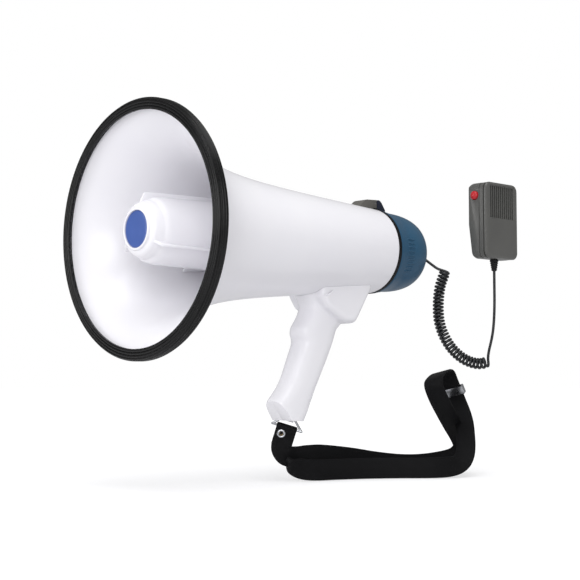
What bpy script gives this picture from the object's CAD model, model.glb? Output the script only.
"""Handheld megaphone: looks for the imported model, piece by piece in the order of assembly."""
from math import atan, copysign, cos, dist, exp, hypot, pi, radians, sin, sqrt
import bmesh
import bpy
from mathutils import Matrix, Vector


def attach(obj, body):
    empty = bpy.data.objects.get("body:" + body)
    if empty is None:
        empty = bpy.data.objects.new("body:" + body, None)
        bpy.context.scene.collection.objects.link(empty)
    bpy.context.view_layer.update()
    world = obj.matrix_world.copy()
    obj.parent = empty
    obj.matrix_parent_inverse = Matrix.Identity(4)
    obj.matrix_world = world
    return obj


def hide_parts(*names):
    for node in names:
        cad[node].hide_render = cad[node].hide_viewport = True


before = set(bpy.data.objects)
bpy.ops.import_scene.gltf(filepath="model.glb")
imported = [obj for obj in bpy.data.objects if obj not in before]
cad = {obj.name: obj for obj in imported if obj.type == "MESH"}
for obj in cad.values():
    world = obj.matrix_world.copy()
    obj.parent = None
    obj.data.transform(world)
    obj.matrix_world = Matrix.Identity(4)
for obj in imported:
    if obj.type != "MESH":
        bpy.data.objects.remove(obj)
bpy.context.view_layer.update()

mm = 0.001  # one millimetre in metres

# ------------------------------------------------ camera, floor and light
# Low camera in front of the bell, looking slightly up at the megaphone as it stands over a pale
# floor. Three soft lamps light it: overhead, on the near side and in front of the bell.
def new_object(name, data):
    """Puts data into the scene as an object."""
    thing = bpy.data.objects.new(name, data)
    bpy.context.scene.collection.objects.link(thing)
    return thing


camera = new_object("camera", bpy.data.cameras.new("camera"))
camera.data.lens = 77.98
camera.data.sensor_width = 36
camera.data.clip_end = 50
camera.location = (-0.8496, -0.8826, -0.0123)
camera.rotation_euler = (radians(93.75), 0, radians(-43.2))
bpy.context.scene.camera = camera
bpy.context.scene.view_settings.view_transform = "Standard"


def linear(code):
    """Turns an sRGB hex colour such as "#ECEBF0" to the linear values that Blender takes."""
    steps = [int(code[i:i + 2], 16) / 255 for i in (1, 3, 5)]
    return (*(c / 12.92 if c <= 0.04045 else ((c + 0.055) / 1.055) ** 2.4 for c in steps), 1.0)


def add(tree, kind, inputs=None, **settings):
    """Adds a node with its settings; each input is a value or another node's output."""
    made = tree.nodes.new(kind)
    for key, value in settings.items():
        setattr(made, key, value)
    for key, value in (inputs or {}).items():
        if isinstance(value, bpy.types.NodeSocket):
            tree.links.new(value, made.inputs[key])
        else:
            made.inputs[key].default_value = value
    return made


def mixed(tree, share, first, second):
    """Blends two shaders by a share from 0 to 1."""
    return add(tree, "ShaderNodeMixShader", {0: share, 1: first, 2: second}).outputs[0]


def calc(tree, operation, *values):
    """Adds a math node and returns its result."""
    return add(tree, "ShaderNodeMath", dict(enumerate(values)), operation=operation).outputs[0]


def new_material(name):
    """A material with an empty node tree."""
    material = bpy.data.materials.new(name)
    material.use_nodes = True
    material.node_tree.nodes.clear()
    return material, material.node_tree


# The floor is matt and takes soft shadows. To the camera it glows a little, more so farther out,
# so that it runs into the white room without a horizon.
floor_z, floor_half = -0.1165, 6
glow_share, glow_near, glow_far = 0.3, 1.72, 2.4
floor_mesh = bpy.data.meshes.new("studio_floor")
floor_mesh.from_pydata([(x * floor_half, y * floor_half, floor_z)
                        for x, y in ((-1, -1), (1, -1), (1, 1), (-1, 1))], [], [(0, 1, 2, 3)])
floor = new_object("studio_floor", floor_mesh)
floor_paint, tree = new_material("matt_white_floor")
white = (1, 1, 1, 1)
sight = add(tree, "ShaderNodeLightPath").outputs
paint = add(tree, "ShaderNodeBsdfDiffuse", {"Color": linear("#DADADC")})
spot = add(tree, "ShaderNodeNewGeometry")
reach = add(tree, "ShaderNodeVectorMath", {0: spot.outputs["Position"]}, operation="LENGTH")
cove = add(tree, "ShaderNodeMapRange", {"Value": reach.outputs["Value"], "From Min": 0.15,
                                        "From Max": 0.8, "To Min": glow_near, "To Max": glow_far})
glow = add(tree, "ShaderNodeEmission", {"Color": white, "Strength": cove.outputs[0]})
seen = calc(tree, "MULTIPLY", sight["Is Camera Ray"], glow_share)
blend = mixed(tree, seen, paint.outputs[0], glow.outputs[0])
add(tree, "ShaderNodeOutputMaterial", {"Surface": blend})
floor_mesh.materials.append(floor_paint)

# The room is white to the camera, softer as a light and dim where a surface mirrors it.
seen_light, room_light, mirrored_light = 1.0, 0.66, 0.28
world = bpy.data.worlds.new("studio")
world.use_nodes = True
bpy.context.scene.world = world
tree = world.node_tree
tree.nodes.clear()
sight = add(tree, "ShaderNodeLightPath").outputs
backdrop, room, dusk = (
    add(tree, "ShaderNodeBackground", {"Color": white, "Strength": strength}).outputs[0]
    for strength in (seen_light, room_light, mirrored_light))
shine = mixed(tree, sight["Is Glossy Ray"], room, dusk)
blend = mixed(tree, sight["Is Camera Ray"], shine, backdrop)
add(tree, "ShaderNodeOutputWorld", {"Surface": blend})


def lamp(name, place, target, size, watts):
    """A square soft lamp that points at a place on the object."""
    data = bpy.data.lights.new(name, "AREA")
    data.size = size
    data.energy = watts
    made = new_object(name, data)
    made.location = place
    made.rotation_euler = (Vector(target) - Vector(place)).to_track_quat("-Z", "Y").to_euler()


lamp("overhead_lamp", (-0.35, -0.45, 1.5), (0, 0, 0.1), 1.1, 11)
lamp("near_lamp", (-1.2, -1.15, 0.5), (0, 0, 0.1), 0.8, 7.5)
lamp("bell_lamp", (-1.35, 0.6, 0.35), (-0.1, 0, 0.11), 0.6, 5.0)

# ------------------------------------------------ curly cord
# The microphone's cord: a jacket of black rubber 2.8 mm thick, wound on a rod and baked into a
# spring. It leaves the gland in the rear of the cap, hangs in a loop and rises to the microphone.
cord_d, coil_r, coil_pitch = 0.0028, 0.0046, 0.0038
lead_route = [(152, -14, 110), (154, -14.2, 109.8), (156, -15.5, 108.6), (159, -18.5, 105.5),
              (162, -22.5, 101.5), (165, -27.5, 97), (167, -32, 93)]
curl_route = [(168, -37, 94), (167, -34, 86), (166, -31.5, 78), (165.5, -30, 69), (165, -29.5, 60),
              (165, -29.5, 50), (165.5, -30.5, 40), (167, -33, 30), (169, -37.5, 20),
              (171, -43, 12), (173.5, -50, 5), (176.5, -57.5, 0), (180, -66, -3), (183, -73.5, -3),
              (185.5, -80, 0)]
tail_route = [(184.5, -77.5, 5), (185.5, -79.5, 11), (186.5, -81.5, 19), (187.5, -83, 28),
              (188, -84, 38), (188.5, -84.5, 50), (189, -84.5, 62), (189, -84.5, 78),
              (189, -84.5, 92)]


def distances(points):
    """How far along its line each point lies."""
    far = [0.0]
    for a, b in zip(points, points[1:]):
        far.append(far[-1] + dist(a, b))
    return far


def eased(points, parts=5):
    """A smooth line through the points, with the given parts between each two."""
    p = [tuple(2 * a - b for a, b in zip(points[0], points[1]))] + list(points)
    p.append(tuple(2 * a - b for a, b in zip(points[-1], points[-2])))
    line = []
    for four in zip(p, p[1:], p[2:], p[3:]):
        for k in range(parts):
            t = k / parts
            line.append(tuple(
                0.5 * (2 * b + (c - a) * t + (2 * a - 5 * b + 4 * c - d) * t ** 2
                       + (3 * b - a - 3 * c + d) * t ** 3) for a, b, c, d in zip(*four)))
    return line + [tuple(points[-1])]


def flowing(points, spacing):
    """Points at an even spacing in metres, on a smooth line through points in millimetres."""
    fine = [Vector(p) * mm for p in eased(points, 24)]
    far = distances(fine)
    steps = round(far[-1] / spacing)
    even, k = [], 0
    for i in range(steps + 1):
        s = far[-1] * i / steps
        while k < len(far) - 2 and far[k + 1] < s:
            k += 1
        even.append(fine[k].lerp(fine[k + 1], (s - far[k]) / (far[k + 1] - far[k])))
    return even


# The coil winds round its middle line; side is carried along without twist, from turn to turn.
middle = flowing(curl_route, 0.0002)
turns, per_turn, ahead = round(distances(middle)[-1] / coil_pitch), 20, 30
side = Vector(lead_route[-1]) * mm - middle[0]
helix = []
for i in range(turns * per_turn + 1):
    k = round(i / (turns * per_turn) * (len(middle) - 1))
    along = (middle[min(k + ahead, len(middle) - 1)] - middle[max(k - ahead, 0)]).normalized()
    side = (side - along * side.dot(along)).normalized()
    angle = 2 * pi * i / per_turn
    helix.append(middle[k] + coil_r * (cos(angle) * side + sin(angle) * along.cross(side)))

# Lead, coil and tail are joined, and the joins are averaged into smooth bends. The first two
# points and the last keep their places, so the cord leaves the gland and meets the relief straight.
lead = flowing(lead_route, 0.0015)
tail = flowing(tail_route, 0.0025)
nearest = min(range(len(helix) - per_turn, len(helix)), key=lambda i: (helix[i] - tail[0]).length)
cord_line = lead[:-2] + helix[2:nearest - 1] + tail[2:]
last = len(cord_line) - 1
kept = {0, 1, last, *range(len(lead) + 6, last - len(tail) - 4)}
for _ in range(6):
    cord_line = [p if j in kept else (cord_line[j - 1] + 2 * p + cord_line[j + 1]) / 4
                 for j, p in enumerate(cord_line)]

jacket_data = bpy.data.curves.new("curly_cord", "CURVE")
jacket_data.dimensions = "3D"
jacket_data.bevel_depth = cord_d / 2
jacket_data.bevel_resolution = 3
jacket_data.use_fill_caps = True
spline = jacket_data.splines.new("POLY")
spline.points.add(len(cord_line) - 1)
spline.points.foreach_set("co", [v for p in cord_line for v in (*p, 1)])
spline.use_smooth = True
curly_cord = new_object("curly_cord", jacket_data)


def noise(tree, scale, detail=2.0):
    """Noise over the object's own coordinates, its scale in cycles a metre."""
    where = add(tree, "ShaderNodeTexCoord").outputs["Object"]
    inputs = {"Vector": where, "Scale": scale, "Detail": detail}
    return add(tree, "ShaderNodeTexNoise", inputs).outputs["Fac"]


def ramp(tree, share, dark, pale, low=0.0, high=1.0):
    """Runs from the dark colour to the pale one while the share goes from low to high."""
    made = add(tree, "ShaderNodeValToRGB", {0: share})
    for step, place, colour in zip(made.color_ramp.elements, (low, high), (dark, pale)):
        step.position = place
        step.color = colour
    return made.outputs[0]


def surface(tree, colour, wear, rough, relief, height, more):
    """Ends a finish: its roughness follows one texture, and another raises its fine relief."""
    dull = add(tree, "ShaderNodeMapRange", {"Value": wear, "To Min": rough[0], "To Max": rough[1]})
    bump = add(tree, "ShaderNodeBump", {
        "Height": relief, "Strength": height[0], "Distance": height[1]})
    body = add(tree, "ShaderNodeBsdfPrincipled", {
        "Base Color": colour, "Roughness": dull.outputs[0], "Normal": bump.outputs[0], **more})
    add(tree, "ShaderNodeOutputMaterial", {"Surface": body.outputs[0]})


# Cord jacket: extruded soft rubber, almost black, with the faint dull bloom of a baked coil.
cord_rubber, tree = new_material("extruded_cord_rubber")
bloom = noise(tree, 160.0, 3.0)
shade = ramp(tree, bloom, linear("#131416"), linear("#26282B"))
surface(tree, shade, bloom, (0.26, 0.4), noise(tree, 1800.0), (0.15, 1e-4), {"IOR": 1.5})
jacket_data.materials.append(cord_rubber)


def fit(piece, owner, slot, *nodes):
    """Gives a piece its body and its finish's slot, and names the nodes that it stands for."""
    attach(piece, owner)
    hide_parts(*nodes)


fit(curly_cord, "rear_pack", "cord_rubber", "cord_lead", "cord_curl", "cord_tail")

# ------------------------------------------------ horn and body
# Bell, horn and body are one injection moulding of glossy white ABS, 2.8 mm thick. The flare dies
# away along the horn into the long, slightly tapered body that carries everything else.
def sharpen(thing, degrees=32):
    """Shades a mesh smooth and keeps the edges that turn by more than the angle crisp."""
    form = bmesh.new()
    form.from_mesh(thing.data)
    for face in form.faces:
        face.smooth = True
    for edge in form.edges:
        edge.smooth = len(edge.link_faces) == 2 and edge.calc_face_angle(0) < radians(degrees)
    form.to_mesh(thing.data)
    form.free()


def bake(thing):
    """Turns a piece's modifiers into its plain mesh."""
    bpy.context.view_layer.update()
    graph = bpy.context.evaluated_depsgraph_get()
    solid = bpy.data.meshes.new_from_object(
        thing.evaluated_get(graph), preserve_all_data_layers=True, depsgraph=graph)
    thing.modifiers.clear()
    thing.data = solid


def start_tree(name, sizes):
    """An empty geometry tree with named size inputs, with its input sockets and output node."""
    tree = bpy.data.node_groups.new(name, "GeometryNodeTree")
    tree.interface.new_socket("Geometry", in_out="OUTPUT", socket_type="NodeSocketGeometry")
    tree.interface.new_socket("Geometry", in_out="INPUT", socket_type="NodeSocketGeometry")
    for label, value in sizes.items():
        kind = "NodeSocketInt" if isinstance(value, int) else "NodeSocketFloat"
        tree.interface.new_socket(label, in_out="INPUT", socket_type=kind).default_value = value
    return tree, add(tree, "NodeGroupInput").outputs, add(tree, "NodeGroupOutput")


def grow(name, tree, sizes, start=None):
    """Makes a piece from a geometry tree, with its inputs set by their identifiers."""
    thing = new_object(name, start or bpy.data.meshes.new(name))
    nodes = thing.modifiers.new("form", "NODES")
    nodes.node_group = tree
    for socket in tree.interface.items_tree:
        if socket.in_out == "INPUT" and socket.name in sizes:
            nodes[socket.identifier] = sizes[socket.name]
    return thing


def moulded(name, dark, pale, rough, grain_mm, depth, vary=0.055, ior=1.5):
    """Moulded plastic: its colour drifts slightly and its skin has a grain of the given size."""
    material, tree = new_material(name)
    shade = ramp(tree, noise(tree, 14.0, 3.0), linear(dark), linear(pale), 0.3, 0.7)
    surface(tree, shade, noise(tree, 55.0, 4.0), (rough - vary, rough + vary),
            noise(tree, 1000.0 / grain_mm), (1.0, depth), {"IOR": ior})
    return material


# White ABS, polished tool: a soft wide gloss, and a touch of lilac where it turns from the light.
white_abs = moulded("white_abs_glossy", "#EDECF1", "#F0EFF3", 0.25, 1.2, 1.5e-6, vary=0.02)

# The mouth and the axis are placed in metres. The profile is in millimetres: a name that ends in u
# is a distance from the mouth along the axis, and one that ends in r is a radius.
mouth_x, axis_z = -0.205, 0.112
lip_u, rim_depth, seam_u, seam_r, ledge_u = 5.6, 9.6, 293.8, 43.3, 122.0
taper, flare, flare_run, wall_t = 0.064, 45.11, 37.5, 2.8
horn_sizes = {"Lip": lip_u * mm, "Rim depth": rim_depth * mm, "Seam": seam_u * mm,
              "Seam radius": seam_r * mm, "Taper": taper, "Flare": flare * mm,
              "Flare length": flare_run * mm, "Mouth": mouth_x, "Axis height": axis_z,
              "Rings": 150, "Facets": 193}

# A flat grid is rolled up: its rings stand closer together towards the mouth, where the flare is.
tree, size, done = start_tree("flared_horn", horn_sizes)
sheet = add(tree, "GeometryNodeMeshGrid", {
    "Size X": 1.0, "Size Y": 1.0, "Vertices X": size["Rings"], "Vertices Y": size["Facets"]})
place = add(tree, "GeometryNodeInputPosition")
part = add(tree, "ShaderNodeSeparateXYZ", {0: place.outputs[0]}).outputs
crowd = calc(tree, "POWER", calc(tree, "ADD", part["X"], 0.5), 1.7)
run = calc(tree, "SUBTRACT", size["Seam"], size["Lip"])
u = calc(tree, "MULTIPLY_ADD", crowd, run, size["Lip"])
left = calc(tree, "SUBTRACT", size["Seam"], u)
cone = calc(tree, "MULTIPLY_ADD", left, size["Taper"], size["Seam radius"])
past = calc(tree, "SUBTRACT", size["Rim depth"], u)
bell = calc(tree, "EXPONENT", calc(tree, "DIVIDE", past, size["Flare length"]))
radius = calc(tree, "MULTIPLY_ADD", bell, size["Flare"], cone)
angle = calc(tree, "MULTIPLY", part["Y"], 2 * pi)
x = calc(tree, "ADD", u, size["Mouth"])
y = calc(tree, "MULTIPLY", radius, calc(tree, "COSINE", angle))
z = calc(tree, "MULTIPLY_ADD", radius, calc(tree, "SINE", angle), size["Axis height"])
spot = add(tree, "ShaderNodeCombineXYZ", {0: x, 1: y, 2: z})
rolled = add(tree, "GeometryNodeSetPosition", {
    "Geometry": sheet.outputs[0], "Position": spot.outputs[0]})
joined = add(tree, "GeometryNodeMergeByDistance", {"Geometry": rolled.outputs[0], "Distance": 1e-5})
coat = add(tree, "GeometryNodeSetMaterial", {"Geometry": joined.outputs[0], "Material": white_abs})
tree.links.new(coat.outputs[0], done.inputs[0])
horn = grow("horn_and_body", tree, horn_sizes)
bake(horn)

# Its faces are turned outwards, seen from a place inside, before the wall grows inwards from them.
form = bmesh.new()
form.from_mesh(horn.data)
bmesh.ops.recalc_face_normals(form, faces=form.faces)
rear_face = max(form.faces, key=lambda f: f.calc_center_median().x)
if rear_face.normal.dot(rear_face.calc_center_median() - Vector((0.08, 0, axis_z))) < 0:
    bmesh.ops.reverse_faces(form, faces=form.faces)
form.to_mesh(horn.data)
form.free()
wall = horn.modifiers.new("wall", "SOLIDIFY")
wall.thickness = wall_t * mm
wall.offset = -1
wall.use_even_offset = True
bake(horn)
sharpen(horn, degrees=40)
fit(horn, "main_body", "body_white", "horn_shell")


def flaring(u):
    """What the flare adds to the radius at a distance from the mouth."""
    return flare * exp(-(u - rim_depth) / flare_run)


def body_r(u):
    """Outer radius of the body at a distance from the mouth."""
    return seam_r + taper * (seam_u - u) + flaring(u) - flaring(seam_u)


def inner_r(u):
    """Inner radius of the body, one wall inside the outer one."""
    return body_r(u) - wall_t * hypot(1, taper + flaring(u) / flare_run)


horn_axis = Matrix.Translation((mouth_x, 0, axis_z)) @ Matrix.Rotation(radians(90), 4, "Y")


def made_of(name, form, material):
    """Turns a finished bmesh into an object of one material."""
    mesh = bpy.data.meshes.new(name)
    form.to_mesh(mesh)
    form.free()
    mesh.materials.append(material)
    return new_object(name, mesh)


def turned(name, outline, material, segments=96, to=horn_axis):
    """A piece turned on a lathe from a closed outline of (radius, distance) in millimetres."""
    form = bmesh.new()
    turn = [2 * pi * k / segments for k in range(segments)]
    rings = []
    for r, h in outline:
        if r < 1e-6:
            rings.append([form.verts.new(to @ Vector((0, 0, h * mm)))])
        else:
            rings.append([form.verts.new(to @ (Vector((r * cos(a), r * sin(a), h)) * mm))
                          for a in turn])
    for a, b in zip(rings, rings[1:] + rings[:1]):
        if len(a) == 1 and len(b) == 1:
            continue
        for k in range(segments):
            corner = [a[k % len(a)], a[(k + 1) % len(a)], b[(k + 1) % len(b)], b[k % len(b)]]
            form.faces.new(list(dict.fromkeys(corner)))
    bmesh.ops.recalc_face_normals(form, faces=form.faces)
    thing = made_of(name, form, material)
    sharpen(thing)
    return thing


# The ledge inside the horn, moulded with it, carries the reflector and the throat plate.
ledge_end = ledge_u + 4
ledge = turned("horn_ledge", [
    (inner_r(ledge_end) - 6, ledge_u), (inner_r(ledge_u) + 0.4, ledge_u),
    (inner_r(ledge_end) + 0.4, ledge_end), (inner_r(ledge_end) - 6, ledge_end)],
    white_abs, segments=128)
fit(ledge, "main_body", "body_white", "horn_shell")

# ------------------------------------------------ rubber rim
# A ring of moulded black rubber is pressed over the bell's lip. Close round ridges run round its
# front face, over its corner and along its side.
def moulded_rubber(name, dark, pale, rough):
    """Moulded rubber: near black, dull, with the dusty mottling that rubber takes on."""
    material, tree = new_material(name)
    dust = noise(tree, 90.0, 5.0)
    shade = ramp(tree, dust, linear(dark), linear(pale), 0.35)
    surface(tree, shade, dust, (rough - 0.06, rough + 0.08), noise(tree, 1500.0), (0.6, 5e-5),
            {"IOR": 1.36})
    return material


rim_rubber = moulded_rubber("moulded_rim_rubber", "#050506", "#0C0D0E", 0.25)

# The profile runs from the inner edge over the face and the corner to the side; the ridges rise
# from a base that lies one ridge deeper.
rim_r, rim_edge, rim_round, rim_side = 115.0, 103.5, 2.6, 6.0
ridge_h, ridge_pitch, first_ridge = 0.8, 2.55, 1.6
front_r, corner_r = rim_edge + 1.5, rim_r - rim_round
base = [(rim_edge, 2.2), (rim_edge + 0.1, 1.2), (rim_edge + 0.6, 0.45), (front_r, 0.1)]
base += [(front_r + (corner_r - front_r) * k / 40, 0.1 - 0.1 * sin(pi * k / 40))
         for k in range(1, 41)]
base += [(corner_r + rim_round * sin(a), rim_round - rim_round * cos(a))
         for a in map(radians, range(4, 91, 4))]
base += [(rim_r, rim_round + rim_side * k / 32) for k in range(1, 33)]
far = distances(base)
face = []
for k, (r, h) in enumerate(base):
    a, b = base[max(k - 1, 0)], base[min(k + 1, len(base) - 1)]
    step = dist(a, b)
    rise = -ridge_h
    if first_ridge < far[k] < far[-1] - 0.4:
        rise += ridge_h * abs(sin(pi * far[k] / ridge_pitch)) ** 0.7
    face.append((r + rise * (b[1] - a[1]) / step, h - rise * (b[0] - a[0]) / step))
back = [(rim_r - 0.9, rim_depth - 0.2), (rim_r - 2.2, rim_depth)]
back += [(body_r(u) + 0.2, u) for u in (rim_depth, 8.6, 7.6, 6.6, lip_u)]
back += [(body_r(lip_u) + 0.2, 5.4), (inner_r(lip_u) - 0.2, 5.4), (inner_r(lip_u) - 0.2, 4.6)]
rim = turned("rubber_rim", face + back, rim_rubber, segments=220)
fit(rim, "main_body", "rim_rubber", "rim_ring")

# ------------------------------------------------ reflector and its plate
# A white ABS moulding stands in the middle of the bell: a rounded nose on a slightly flared tube,
# held by three ribs that run back to the ledge. A round plate is pressed into the nose.
def round_edges(thing, width, segments, angle):
    """Rounds the edges that turn by more than the angle, by a width in millimetres."""
    edge = thing.modifiers.new("edges", "BEVEL")
    edge.width = width * mm
    edge.segments = segments
    edge.limit_method = "ANGLE"
    edge.angle_limit = radians(angle)
    bake(thing)


def skin_over(name, rings, material, to=Matrix.Identity(4)):
    """A closed skin over rings of points in millimetres, one ring after the other."""
    form = bmesh.new()
    rows = [[form.verts.new(to @ (Vector(p) * mm)) for p in ring] for ring in rings]
    for a, b in zip(rows, rows[1:]):
        for k in range(len(a)):
            n = (k + 1) % len(a)
            form.faces.new([a[k], a[n], b[n], b[k]])
    form.faces.new(rows[0])
    form.faces.new(list(reversed(rows[-1])))
    bmesh.ops.recalc_face_normals(form, faces=form.faces)
    return made_of(name, form, material)


def slab(name, outline, half, material, to=Matrix.Identity(4), bevel=0.0):
    """A plate of the outline (x, z) and of the given half thickness in y, in millimetres."""
    thing = skin_over(name, [[(x, y, z) for x, z in outline] for y in (-half, half)], material, to)
    if bevel:
        round_edges(thing, bevel, segments=3, angle=28)
    sharpen(thing)
    return thing


def repeated(name, part, places, material):
    """Sets copies of a part at places, each (position, turn), and makes them one plain mesh."""
    spots = bpy.data.meshes.new(name + "_places")
    spots.from_pydata([tuple(p) for p, _ in places], [], [])
    turned_by = spots.attributes.new("turn", "FLOAT_VECTOR", "POINT")
    turned_by.data.foreach_set("vector", [v for _, turn in places for v in turn])
    tree, inlet, done = start_tree(name + "_copies", {})
    shape = add(tree, "GeometryNodeObjectInfo", {"Object": part})
    dots = add(tree, "GeometryNodeMeshToPoints", {"Mesh": inlet["Geometry"]})
    turn = add(tree, "GeometryNodeInputNamedAttribute", {"Name": "turn"}, data_type="FLOAT_VECTOR")
    angle = add(tree, "FunctionNodeEulerToRotation", {0: turn.outputs[0]})
    copies = add(tree, "GeometryNodeInstanceOnPoints", {
        "Points": dots.outputs[0], "Instance": shape.outputs["Geometry"],
        "Rotation": angle.outputs[0]})
    whole = add(tree, "GeometryNodeRealizeInstances", {"Geometry": copies.outputs[0]})
    coat = add(tree, "GeometryNodeSetMaterial", {
        "Geometry": whole.outputs[0], "Material": material})
    tree.links.new(coat.outputs[0], done.inputs[0])
    thing = grow(name, tree, {}, spots)
    bake(thing)
    bpy.data.objects.remove(part)
    return thing


badge_r, reflector_r, tube_u = 16.4, 30.0, 24.0
nose = eased([(badge_r + 2.8, 2.3), (badge_r + 5.4, 3.2), (badge_r + 7.2, 4.8), (badge_r + 8.2, 7),
              (badge_r + 9.2, 9.4), (reflector_r - 3.6, 12.2), (reflector_r - 1.2, 16.5),
              (reflector_r, tube_u)], 6)
nose_lip = [(badge_r + 0.2, 0.5), (badge_r + 0.5, 0.1), (badge_r + 1.1, 0), (badge_r + 1.6, 0.05),
            (badge_r + 2.05, 0.35), (badge_r + 2.25, 1), (badge_r + 2.4, 1.8)]
tube_end = ledge_u - 4
tube = [(reflector_r + 2.5 * k / 12, tube_u + (tube_end - tube_u) * k / 12) for k in range(1, 13)]
inside = [(reflector_r + 0.1, tube_end), (reflector_r - 2.4, tube_u), (reflector_r - 4.4, 17),
          (badge_r + 5, 9), (badge_r, 7), (0, 7)]
outline = [(0, 2.6), (badge_r + 0.2, 2.6)] + nose_lip + nose + tube + inside
reflector = turned("reflector_nose", outline, white_abs, segments=128)
fit(reflector, "main_body", "reflector_white", "reflector")
rib_line = [(3.4, 20), (6.2, reflector_r - 2.4), (9, reflector_r + 2.4), (12, reflector_r + 3.1),
            (tube_u, reflector_r + 3.6), (88, reflector_r + 4.6)]
rib_line += [(u, inner_r(u) - 0.2) for u in range(92, 123, 5)]
rib_line += [(ledge_u, reflector_r + 3), (tube_end, reflector_r + 0.4),
             (tube_u, reflector_r - 1.2), (14, reflector_r - 6), (8, 20)]
one_rib = slab("rib", rib_line, 1.3, white_abs, bevel=0.55)
round_axis = [((mouth_x, 0, axis_z), (radians(a), 0, 0)) for a in (0, 120, 240)]
ribs = repeated("reflector_ribs", one_rib, round_axis, white_abs)
sharpen(ribs)
fit(ribs, "main_body", "reflector_white", "reflector")

# The plate is stamped aluminium, lacquered royal blue, its face very slightly domed.
blue_lacquer, tree = new_material("blue_lacquered_aluminium")
cloud = noise(tree, 60.0, 3.0)
shade = ramp(tree, cloud, linear("#2F4F98"), linear("#3B5CA8"))
surface(tree, shade, cloud, (0.26, 0.36), noise(tree, 700.0), (0.12, 1e-4),
        {"Coat Weight": 0.4, "Coat Roughness": 0.12})
plate = turned("nose_plate", [
    (0, 0.75), (8, 0.8), (13, 0.9), (badge_r - 1, 1.0), (badge_r - 0.4, 1.15), (badge_r, 1.5),
    (badge_r, 2.6), (0, 2.6)], blue_lacquer)
fit(plate, "main_body", "badge_blue", "badge_plate")

# ------------------------------------------------ throat and driver
# Behind the reflector a screwed plate closes the horn and carries the driver: a die-cast housing
# with a film diaphragm, a ferrite ring magnet and its zinc-plated yoke.
def coat_node(name, material):
    """Gives a CAD piece that keeps its own shape the material of the real one."""
    thing = cad[name]
    if not thing.material_slots:
        thing.data.materials.append(material)
    for held in thing.material_slots:
        held.material = material


def metal(name, colour, rough, grain_mm):
    """Bare or plated metal with fine marks all over."""
    material, tree = new_material(name)
    marks = noise(tree, 1000.0 / grain_mm, 4.0)
    dark = (*(0.82 * c for c in linear(colour)[:3]), 1)
    surface(tree, ramp(tree, marks, dark, linear(colour)), marks, (rough - 0.06, rough + 0.1),
            marks, (1.0, 4e-6), {"Metallic": 1.0})
    return material


coat_node("throat_plate", white_abs)
zinc_screw = metal("zinc_plated_steel", "#B9BBBF", 0.3, 0.5)
coat_node("throat_screws", zinc_screw)
coat_node("driver_housing", metal("die_cast_zinc", "#55585C", 0.48, 0.8))
coat_node("driver_diaphragm", moulded("phenolic_film", "#B89F76", "#C9B28A", 0.4, 0.3, 5e-6))
coat_node("driver_magnet", moulded("sintered_ferrite", "#262628", "#343437", 0.62, 0.25, 2e-5))
coat_node("driver_yoke", metal("zinc_plated_yoke", "#A8AAAD", 0.34, 0.6))

# ------------------------------------------------ handle
# Pistol grip and saddle, moulded in white ABS as two halves that are screwed together from the
# far side. The saddle follows the body, and soft fillets run from it into the grip.
def squared(v):
    """Pulls a sine or cosine outwards, so that a round section gets nearly flat sides."""
    return copysign(abs(v) ** 0.66, v)


def merge(thing, other, how):
    """Adds another piece to this one, or cuts it away, and removes the other."""
    cut = thing.modifiers.new(how, "BOOLEAN")
    cut.operation = how
    cut.solver = "EXACT"
    cut.object = other
    bake(thing)
    bpy.data.objects.remove(other)


# Stations up the grip: height, front and rear edge, and width as a share of the grip's own.
grip_half = 15
stations = eased([
    (-74, -46.5, -20, 0.94), (-52, -46.5, -5.5, 0.95), (-41.5, -45.5, -0.5, 0.95),
    (-37, -42.2, 2, 0.95), (-33, -38.4, 3.5, 0.95), (-21, -28.6, 9.5, 0.95),
    (-1, -19.6, 20.5, 0.97), (16, -12, 28.5, 1.02), (24, -14, 31.8, 1.05), (30, -13.5, 34.5, 1.06),
    (34, -11, 39, 1.07), (42, -5, 42, 1.08), (51, -1.8, 44, 1.06), (58, -4.4, 48, 1.04),
    (66, -11, 54, 1.06), (80, -20, 60, 1.1)])
grip_rings = []
for z, front, rear, share in stations:
    mid, deep, half = (front + rear) / 2, (rear - front) / 2, grip_half * share
    grip_rings.append([(mid + deep * squared(cos(a)), half * squared(sin(a)), z)
                       for a in (2 * pi * k / 56 for k in range(56))])
handle = skin_over("grip", grip_rings, white_abs)


def saddle_side(up, ends):
    """The saddle seen from the side, with its lower edge raised and its ends moved in."""
    return [(-1 + ends, 84), (-1 + ends, 61 + up), (8, 49.5 + up), (26, 39 + up), (34, 36.2 + up),
            (42, 35.5 + up), (46.5 - ends * 0.5, 36.6 + up), (49.2 - ends, 39.5 + up),
            (51 - ends, 42.5 + up * 0.6), (69 - ends, 71 + up * 0.3), (69 - ends, 84)]


edge_r, saddle_half = 6.0, 25.3
saddle_rings = []
for k in range(-6, 7):
    a = radians(15 * k)
    y = copysign(saddle_half - edge_r + edge_r * abs(sin(a)), k) if k else 0
    inset = edge_r * (1 - cos(a))
    saddle_rings.append([(x, y, z) for x, z in saddle_side(inset, inset * 0.5)])
merge(handle, skin_over("saddle", saddle_rings, white_abs), "UNION")

# The union is resampled and smoothed, which makes the fillets, and fitted to the body.
even = handle.modifiers.new("even", "REMESH")
even.mode = "VOXEL"
even.voxel_size = 0.0011
soft = handle.modifiers.new("soft", "SMOOTH")
soft.factor = 0.5
soft.iterations = 16
bake(handle)
handle.data.materials.clear()
handle.data.materials.append(white_abs)
body_outline = [(0, 100)] + [(body_r(u) + 0.2, u) for u in range(100, 301, 5)] + [(0, 300)]
merge(handle, turned("body_space", body_outline, white_abs, segments=192), "DIFFERENCE")
notch = slab("notch", [(-1.5, 59.2), (2.2, 63.6), (13, 67.4), (6, 62.2)], 4.0, white_abs,
             Matrix.Translation((0, -0.0279, 0)))
merge(handle, notch, "DIFFERENCE")


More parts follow.
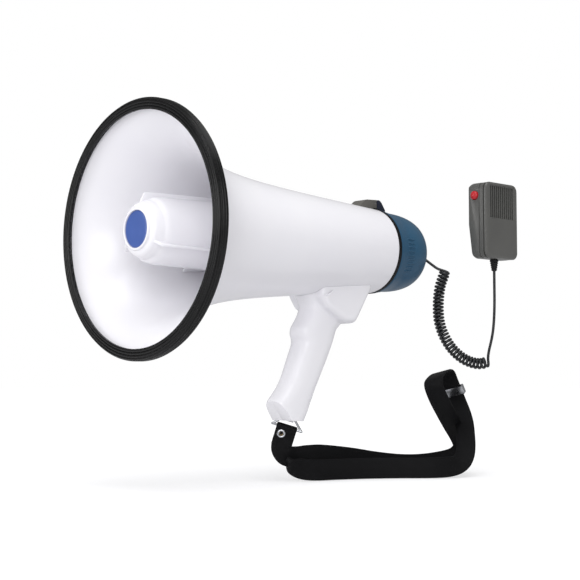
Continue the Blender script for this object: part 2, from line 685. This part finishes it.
def trim(thing, point, normal):
    """Cuts away what lies on the side that the normal points to, and closes the cut."""
    form = bmesh.new()
    form.from_mesh(thing.data)
    cut = bmesh.ops.bisect_plane(
        form, geom=form.verts[:] + form.edges[:] + form.faces[:], dist=1e-7,
        plane_co=Vector(point) * mm, plane_no=Vector(normal).normalized(), clear_outer=True)
    open_edges = [part for part in cut["geom_cut"] if isinstance(part, bmesh.types.BMEdge)]
    bmesh.ops.holes_fill(form, edges=open_edges)
    bmesh.ops.recalc_face_normals(form, faces=form.faces)
    form.to_mesh(thing.data)
    form.free()


# Two cuts shape the lower end, its heel and its toe, and a hollow leaves walls for the plug.
heel, toe = radians(3), radians(37)
heel_normal = Vector((-sin(heel), 0, -cos(heel)))
toe_normal = Vector((-cos(toe), 0, -sin(toe)))
heel_point, toe_point = Vector((-5, 0, -59.5)), Vector((-42.5, 0, -42.5))
trim(handle, toe_point, toe_normal)
trim(handle, heel_point, heel_normal)
lean = Matrix.Translation((0.2, 0, 0)) @ Matrix.Rotation(radians(24.8), 4, "Y")
corners = [(14, 7.2), (9, 12.2), (-9, 12.2), (-14, 7.2)]
corners += [(-x, -y) for x, y in corners]
ends = [[lean @ Vector((x, y, z)) for x, y in corners] for z in (-110, -50)]
hollow = skin_over("hollow", ends, white_abs)
trim(hollow, (-5, 0, -51.1), -heel_normal)
trim(hollow, toe_point - wall_t * toe_normal, toe_normal)
merge(handle, hollow, "DIFFERENCE")

# The halves part at a fine bevelled seam; the left one has two wells for the screws.
screw_places = ((7, 20), (-13, -24))
sideways = Matrix.Rotation(radians(-90), 4, "X")
for name, sign in (("handle_right", -1), ("handle_left", 1)):
    half = new_object(name + "_shell", handle.data.copy())
    trim(half, (0, 0.04 * sign, 0), (0, -sign, 0))
    for x, z in screw_places if sign > 0 else ():
        axis = Matrix.Translation((x * mm, 0, z * mm)) @ sideways
        well = [(0, 9), (3.3, 9), (3.3, 40), (0, 40)]
        merge(half, turned("well", well, white_abs, segments=32, to=axis), "DIFFERENCE")
    round_edges(half, 0.3, segments=2, angle=50)
    sharpen(half, degrees=38)
    fit(half, "main_body", "body_white", name)
bpy.data.objects.remove(handle)

# ------------------------------------------------ handle's plug and screws
# A white plug closes the grip's lower end and holds the strap's ring in an eye. Two pan-head
# screws hold the halves together and four more hold the saddle from inside the body.
def softened(node, width, material, segments=3, angle=30):
    """A copy of a CAD piece with merged faces and edges rounded by a width in millimetres."""
    form = bmesh.new()
    form.from_mesh(cad[node].data)
    bmesh.ops.remove_doubles(form, verts=form.verts, dist=2e-6)
    bmesh.ops.dissolve_limit(form, angle_limit=radians(1.5), verts=form.verts, edges=form.edges)
    thing = made_of(node + "_moulding", form, material)
    round_edges(thing, width, segments, angle)
    sharpen(thing, degrees=40)
    return thing


fit(softened("handle_end", 0.4, white_abs), "main_body", "body_white", "handle_end")
coat_node("handle_screws", zinc_screw)
coat_node("saddle_screws", zinc_screw)

# ------------------------------------------------ latch
# On the top of the body sits a dark grey wedge with the hinge pin in its rear end; the lever tilts
# on the pin over the seam, pushed down by a small coil spring.
latch_grey = moulded("glass_filled_nylon_grey", "#53514D", "#62605B", 0.42, 0.5, 2e-5)
lever_dark = moulded("glass_filled_nylon_dark", "#191E2C", "#20263A", 0.3, 0.5, 1e-5)
fit(softened("latch_housing", 0.7, latch_grey), "main_body", "latch_plastic", "latch_housing")
fit(softened("latch_lever", 0.8, lever_dark), "latch", "lever_plastic", "latch_lever")
coat_node("latch_pin", zinc_screw)
coat_node("latch_spring", metal("spring_steel_wire", "#C4C6CA", 0.25, 0.3))

# ------------------------------------------------ rear cap and gasket
# The cap is moulded in blue-grey ABS with short ribs to grip it by, and slides off with the
# batteries. A black foam-rubber gasket seals it against the body.
blue_abs = moulded("blue_grey_abs", "#2A4E69", "#315873", 0.38, 0.7, 1e-5, ior=1.32)
gasket_rubber = moulded_rubber("closed_cell_gasket_rubber", "#08090A", "#121315", 0.6)
gasket = turned("seal_gasket", [
    (40.6, seam_u + 0.05), (43.2, seam_u + 0.05), (43.7, seam_u + 0.5), (43.8, seam_u + 1.4),
    (43.8, seam_u + 3.4), (43.7, seam_u + 4), (43.2, seam_u + 4.45), (40.6, seam_u + 4.45)],
    gasket_rubber, segments=160)
fit(gasket, "rear_pack", "rim_rubber", "cap_gasket")
cap_u, cap_end, cap_front, cap_rear, draw_in, round_l = 298.3, 350.0, 43.6, 41.0, 11.5, 36.0
panel_r, panel_u, rear_wall_u, cap_wall = 28.4, 341.0, 338.5, 2.5
spigot, spigot_wall = inner_r(seam_u) - 0.3, 2.4
round_u = cap_end - round_l


def cap_r(u):
    """Outer radius of the cap at a distance from the mouth, before and over its rounded end."""
    if u < round_u:
        return cap_front + (cap_rear - cap_front) * (u - cap_u) / (round_u - cap_u)
    return cap_rear - draw_in * (1 - sqrt(1 - ((u - round_u) / round_l) ** 2))


def quarter(step, flat_r, deep_r, deep_u):
    """Points of a quarter ellipse from the start of the cap's rounded end to its rear."""
    turn = [radians(a) for a in range(0, 91, step)]
    return [(flat_r + deep_r * cos(a), round_u + deep_u * sin(a)) for a in turn]


# The outline runs over the taper and the rounded end, which the panel's recess cuts off at 84
# degrees, into the recess, and back along the inside to the spigot that fits in the body.
shell = [(cap_front - 0.7, cap_u), (cap_front - 0.2, cap_u + 0.2), (cap_front, cap_u + 0.8)]
shell += [(cap_r(cap_u + step), cap_u + step) for step in (4, 8, 12)]
shell += quarter(4, cap_rear - draw_in, draw_in, round_l)[:22]
shell += [(panel_r + 0.9, cap_end - 0.15), (panel_r + 0.4, cap_end - 0.4),
          (panel_r + 0.1, cap_end - 0.9), (panel_r, cap_end - 1.6), (panel_r, panel_u),
          (panel_r - 4, panel_u), (panel_r - 4, rear_wall_u)]
shell += reversed(quarter(10, panel_r, cap_rear - cap_wall - panel_r, rear_wall_u - round_u))
shell += [(cap_front - cap_wall, cap_u + cap_wall), (spigot - spigot_wall, cap_u + cap_wall),
          (spigot - spigot_wall, seam_u - 12), (spigot - 0.3, seam_u - 12), (spigot, seam_u - 11.6),
          (spigot, cap_u)]
cap = turned("rear_cap_shell", shell, blue_abs, segments=192)
fit(cap, "rear_pack", "cap_blue", "rear_cap")

# Nine short ribs on either side, laid along the cap's slight taper.
rib_u, rib_half, rib_h = cap_u + 12, 5.5, 0.85
taper_angle = atan((cap_r(rib_u) - cap_r(rib_u + 2 * rib_half)) / (2 * rib_half))
rib = slab("rib", [
    (-rib_half, -1.2), (-rib_half, 0.2), (0.5 - rib_half, rib_h), (rib_half - 0.5, rib_h),
    (rib_half, 0.2), (rib_half, -1.2)], 0.75, blue_abs, Matrix.Rotation(taper_angle, 4, "Y"), 0.3)
mid_u = rib_u + rib_half
mid_r = (cap_r(mid_u) + cap_r(mid_u + 4)) / 2
places = []
for flip in (-1, 1):
    for k in range(9):
        a = radians(flip * (98 + 5.8 * (k - 4)))
        y, z = -mid_r * sin(a) * mm, axis_z + mid_r * cos(a) * mm
        places.append(((mid_u * mm + mouth_x, y, z), (a, 0, 0)))
ribs = repeated("cap_grip_ribs", rib, places, blue_abs)
sharpen(ribs)
fit(ribs, "rear_pack", "cap_blue", "rear_cap")

# ------------------------------------------------ control panel
# A dark panel is screwed into the cap's rear recess. It carries the volume knob on its
# potentiometer, the mode slider and the cord's gland, all moulded in black.
panel_abs = moulded("fine_grained_abs_black", "#27292C", "#2E3034", 0.5, 0.8, 5e-5)
knob_abs = moulded("knob_abs_black", "#151618", "#1B1C1F", 0.38, 0.5, 2e-5)
for node, owner, slot, finish, width in (
        ("control_panel", "rear_pack", "panel_plastic", panel_abs, 0.3),
        ("volume_knob", "volume", "knob_plastic", knob_abs, 0.35),
        ("mode_slider", "mode", "knob_plastic", knob_abs, 0.5)):
    fit(softened(node, width, finish, segments=2), owner, slot, node)
plated = metal("nickel_plated_steel", "#BFC1C4", 0.26, 0.4)
coat_node("panel_screws", zinc_screw)
for node in ("volume_shaft", "volume_pot", "mode_switch"):
    coat_node(node, plated)

# ------------------------------------------------ amplifier
# A green circuit board stands on four posts inside the cap, with its capacitors and a heat sink.
board_green = moulded("solder_masked_board", "#174A2D", "#1F5A38", 0.34, 1.2, 3e-5)
coat_node("amplifier_board", board_green)
coat_node("amplifier_parts", moulded("epoxy_moulded_parts", "#1C1C1E", "#2A2A2D", 0.45, 0.4, 1e-5))

# ------------------------------------------------ batteries
# A black tray of three plates holds two rows of four C cells between coil springs and nickel
# plates.
coat_node("battery_tray", panel_abs)
coat_node("battery_cells", moulded("printed_pvc_sleeve", "#A87B2B", "#B98A35", 0.3, 1.0, 1e-5))
coat_node("battery_contacts", metal("nickel_plated_brass", "#C9A24B", 0.3, 0.5))
coat_node("battery_springs", plated)

# ------------------------------------------------ cord's gland
# A black rubber gland with moulded rings leads the cord out of the panel.
gland_rubber = moulded_rubber("moulded_gland_rubber", "#161718", "#242527", 0.5)
gland = softened("cord_gland", 0.25, gland_rubber, segments=2)
fit(gland, "rear_pack", "cord_rubber", "cord_gland")

# ------------------------------------------------ microphone
# Fist microphone in dark grey ABS: a front cover with a slotted grille over black cloth, a rear
# shell, a red talk button on its side, and a ribbed rubber relief where the cord's tail enters.
mic_abs = moulded("spark_eroded_abs_grey", "#525250", "#5E5E5B", 0.33, 0.6, 2e-5)
mic_x, mic_mid, mic_half, mic_tall, relief_y = 189.0, 143.0, 26.0, 39.0, -84.5


def mic_ring(y, inset):
    """The microphone's rounded outline, moved in, at a distance y."""
    corner = 7.0 - inset * 0.5
    return [(mic_x + sx * (mic_half - inset - corner) + corner * cos(radians(a)), y,
             mic_mid + sz * (mic_tall - inset - corner) + corner * sin(radians(a)))
            for sx, sz, turn in ((1, 1, 0), (-1, 1, 90), (-1, -1, 180), (1, -1, 270))
            for a in range(turn, turn + 91, 15)]


def window(left, right, low, high):
    """The corners (x, z) of an upright rectangle."""
    return [(left, low), (right, low), (right, high), (left, high)]


front_rings = [mic_ring(y, inset) for y, inset in (
    (-93.8, 3.2), (-86, 2.2), (-86, 0.6), (-86.6, 0.1), (-90.6, 0.1), (-90.8, 0.3), (-90.8, 1.9),
    (-92.3, 1.9), (-92.3, 0.3), (-92.5, 0), (-94, 0), (-95, 0.5), (-95.7, 1.5), (-96, 2.9))]
front = skin_over("mic_front_cover", front_rings, mic_abs)
sunk = slab("sunk", window(168.9, 209.1, 144.2, 179.2), 3.0, mic_abs,
            Matrix.Translation((0, -0.0979, 0)), 0.8)
merge(front, sunk, "DIFFERENCE")
slot_count, slot_pitch = 12, 3.27
slot_places = [(((mic_x + (k - (slot_count - 1) / 2) * slot_pitch) * mm, -0.095, 0), (0, 0, 0))
               for k in range(slot_count)]
one_slot = slab("slot", window(-0.95, 0.95, 145.5, 178.2), 4.0, mic_abs)
merge(front, repeated("slots", one_slot, slot_places, mic_abs), "DIFFERENCE")
sharpen(front, degrees=28)
fit(front, "rear_pack", "mic_plastic", "mic_front")
dust_cloth = moulded("black_dust_cloth", "#050505", "#0A0A0B", 0.9, 0.5, 1e-4)
cloth = slab("grille_cloth", window(169.5, 208.5, 144.8, 178.8), 0.1, dust_cloth,
             Matrix.Translation((0, -0.0935, 0)))
fit(cloth, "rear_pack", "mic_plastic", "mic_front")
fit(softened("mic_back", 0.6, mic_abs), "rear_pack", "mic_plastic", "mic_back")
relief_place = Matrix.Translation((mic_x * mm, relief_y * mm, 0))
relief_side = [(2.1 + 0.017 * z + 0.7 * abs(sin(pi * z / 23)), 92 + z / 10)
               for z in range(0, 116, 4)]
relief = turned("ribbed_relief", [(1.4, 91.9)] + relief_side + [
    (4.1, 103.7), (3.2, 103.7), (3.2, 107.4), (1.4, 107.4)],
    gland_rubber, segments=40, to=relief_place)
fit(relief, "rear_pack", "cord_rubber", "mic_relief")
button_red = moulded("silicone_red", "#B51B24", "#C8202A", 0.34, 0.6, 1e-5)
fit(softened("talk_button", 0.25, button_red, segments=2), "talk", "button_red", "talk_button")
coat_node("mic_board", board_green)
coat_node("mic_capsule", plated)
coat_node("mic_switch", knob_abs)
coat_node("mic_screws", zinc_screw)

# ------------------------------------------------ strap
# Tightly woven black polypropylene webbing, 20 mm wide and 1.8 mm thick. It is folded over a wire
# ring in the grip's eye, runs out over the floor, turns up in a standing loop and comes back.
ring_wire = metal("nickel_plated_wire", "#C6C8CC", 0.2, 0.4)
ring = softened("strap_ring", 0.05, ring_wire, segments=1, angle=60)
fit(ring, "main_body", "ring_steel", "strap_ring")
fit(softened("strap_adjuster", 0.45, ring_wire), "adjuster", "ring_steel", "strap_adjuster")

# The strap's middle line, from the fold round the ring's wire to its other end beside the fold.
# Each station is the middle of the webbing and the direction across it, in millimetres.
ring_frame = (Matrix.Translation((-20, 1.5, -56.514)) @ Matrix.Rotation(radians(-42), 4, "Z")
              @ Matrix.Rotation(radians(17), 4, "Y"))
strap_w, strap_t, ring_h, fold_r, layer_y = 20.0, 1.8, 9.0, 2.2, 1.0
across = ring_frame.to_3x3() @ Vector((-1, 0, 0))
folded = [(layer_y, -ring_h - 19), (layer_y, -ring_h - 8), (layer_y + 0.35, -ring_h - 5)]
folded += [(fold_r * cos(a), fold_r * sin(a) - ring_h)
           for a in map(radians, range(-20, 201, 40))]
folded += [(-layer_y - 0.35, -ring_h - 5), (-layer_y, -ring_h - 8), (-layer_y, -ring_h - 16)]
strap_line = [(*(ring_frame @ Vector((0, y, z))), *across) for y, z in folded]
strap_line += [(-27, 4.8, -86.5, -0.8, 0.5, -0.25), (-23, 2, -92, -0.62, 0.4, -0.68),
               (-14, -1, -93, -0.35, 0.2, -0.9), (0, -2.6, -92.4, -0.12, 0, -0.98)]
strap_line += [(x, y, z, 0, 0, -1) for x, y, z in (
    (20, -3, -92.8), (55, -6, -96.8), (85, -13, -101.8), (111, -22, -105), (132, -30, -105.5))]
strap_line += [(152, -36, -104, 0.08, -0.02, -1), (171, -40, -101, 0.28, -0.1, -0.95),
               (181, -41.6, -96, 0.66, -0.25, -0.7), (185, -42.4, -90, 0.88, -0.42, -0.2),
               (184, -43.2, -83.5, 0.8, -0.55, 0.25), (176, -45.6, -76, 0.52, -0.75, 0.42),
               (163.5, -49.6, -68, 0.42, -0.85, 0.3), (143.5, -56.5, -53.5, 0.4, -0.86, 0.3),
               (126, -63, -40.7, 0.38, -0.87, 0.3), (116.5, -65.8, -31.5, 0.37, -0.9, 0.2),
               (114, -65.5, -25, 0.36, -0.92, 0.16), (117.5, -63, -19, 0.33, -0.91, 0.25),
               (130.5, -57.5, -14, 0.33, -0.91, 0.25), (144, -51.8, -12, 0.33, -0.91, 0.25),
               (153, -48.8, -14, 0.33, -0.91, 0.25)]
leg, leg_middle = Vector((11, -2, -22)).normalized(), Vector((164.5, -48.6, -32))
strap_line += [(*(leg_middle + k * leg), 0.33, -0.91, 0.25) for k in (-12.3, 0, 12.3)]
strap_line += [(171, -54, -54, 0.36, -0.86, 0.3), (166, -62, -65, 0.4, -0.84, 0.3),
               (158, -70, -76, 0.42, -0.83, 0.3), (151, -76, -87, 0.44, -0.84, 0.2),
               (144, -79.5, -96, 0.38, -0.88, -0.2), (135, -80.5, -102.5, 0.25, -0.7, -0.65),
               (122, -79, -105.3, 0.05, -0.3, -0.95)]
strap_line += [(x, y, z, 0, -0.15, -0.99) for x, y, z in (
    (105, -72, -106), (78, -50, -106), (50, -32, -106), (20, -20, -106), (2, -15, -106))]
strap_line += [(-11, -9.5, -105, 0.2, 0.05, -0.98), (-20, -4, -101.5, 0.5, 0.1, -0.86),
               (-25, 1, -95.5, 0.68, -0.1, -0.72)]

# Webbing: two black yarn directions a millimetre apart, with a soft sheen on the upper yarns and
# a little dust.
pick_pitch, yarn_pitch, slant = 1.5, 1.1, 0.55
webbing, tree = new_material("woven_polypropylene_webbing")
weave_place = add(tree, "ShaderNodeUVMap", uv_map="weave")
part = add(tree, "ShaderNodeSeparateXYZ", {0: weave_place.outputs[0]}).outputs
chevron = calc(tree, "MULTIPLY_ADD", calc(tree, "ABSOLUTE", part["X"]), slant, part["Y"])
pick = calc(tree, "SINE", calc(tree, "MULTIPLY", chevron, 2 * pi / pick_pitch))
yarn = calc(tree, "SINE", calc(tree, "MULTIPLY", part["X"], 2 * pi / yarn_pitch))
weave = calc(tree, "MULTIPLY", pick, yarn)
rise = add(tree, "ShaderNodeMapRange", {"Value": weave, "From Min": -1.0, "From Max": 1.0})
shade = ramp(tree, rise.outputs[0], linear("#040405"), linear("#111114"))
dust = noise(tree, 130.0, 4.0)
dusty = add(tree, "ShaderNodeMixRGB", {"Fac": dust, "Color1": shade, "Color2": linear("#0B0B0D")})
surface(tree, dusty.outputs[0], dust, (0.62, 0.62), rise.outputs[0], (0.7, 2.2e-4),
        {"Sheen Weight": 0.02, "Sheen Roughness": 0.4, "Specular IOR Level": 0.15})

# Its section has a slightly thinner selvedge on both edges, and its UVs run in millimetres.
rows = eased(strap_line, 8)
mids = [Vector(row[:3]) for row in rows]
far = distances(mids)
section = [(-1.0, 0.0), (-0.985, 0.55), (-0.94, 0.8), (-0.9, 0.94), (-0.87, 0.82), (-0.82, 0.98)]
section += [(-0.82 + 1.64 * k / 8, 1.0) for k in range(1, 8)]
section += [(-x, h) for x, h in reversed(section[:6])]
section += [(-x, -h) for x, h in section[1:-1]]
form = bmesh.new()
uv = form.loops.layers.uv.new("weave")
loops = []
for i, centre in enumerate(mids):
    along = (mids[min(i + 1, len(mids) - 1)] - mids[max(i - 1, 0)]).normalized()
    width = Vector(rows[i][3:])
    width = (width - along * width.dot(along)).normalized()
    up = along.cross(width)
    loops.append([form.verts.new((centre + width * x * strap_w / 2 + up * h * strap_t / 2) * mm)
                  for x, h in section])
for i, (a, b) in enumerate(zip(loops, loops[1:])):
    for k in range(len(section)):
        n = (k + 1) % len(section)
        face = form.faces.new([a[k], a[n], b[n], b[k]])
        for loop, (row, col) in zip(face.loops, ((i, k), (i, n), (i + 1, n), (i + 1, k))):
            loop[uv].uv = (section[col][0] * strap_w / 2, far[row])
form.faces.new(loops[0])
form.faces.new(list(reversed(loops[-1])))
bmesh.ops.recalc_face_normals(form, faces=form.faces)
strap = made_of("carrying_strap", form, webbing)
sharpen(strap, degrees=50)
fit(strap, "main_body", "strap_fabric", "strap_webbing")

# The fold is held by a hollow rivet: a nickel-plated rim round a brass-brown well.
rivet_frame = (Matrix.Scale(mm, 4) @ ring_frame @ Matrix.Translation((-3.5, 0, -ring_h - 7.0))
               @ Matrix.Rotation(radians(90), 4, "X") @ Matrix.Scale(1 / mm, 4))
rivet_out = 3.35
half_rim = [(1.9, 1.6), (2.2, rivet_out - 0.35), (2.7, rivet_out - 0.05), (3.3, rivet_out),
            (3.8, rivet_out - 0.2), (4.2, rivet_out - 0.75), (4.1, rivet_out - 1.1),
            (2.1, rivet_out - 1.1)]
half_well = [(0, 1.75), (1.2, 1.85), (1.88, 2.2)]
brass_well = metal("tarnished_brass", "#A08B68", 0.42, 0.4)
for name, half, finish, segments in (
        ("rivet_rim", half_rim, ring_wire, 48), ("rivet_well", half_well, brass_well, 32)):
    outline = half + [(r, -h) for r, h in reversed(half)]
    piece = turned(name, outline, finish, segments, rivet_frame)
    fit(piece, "main_body", "ring_steel", "strap_rivet")
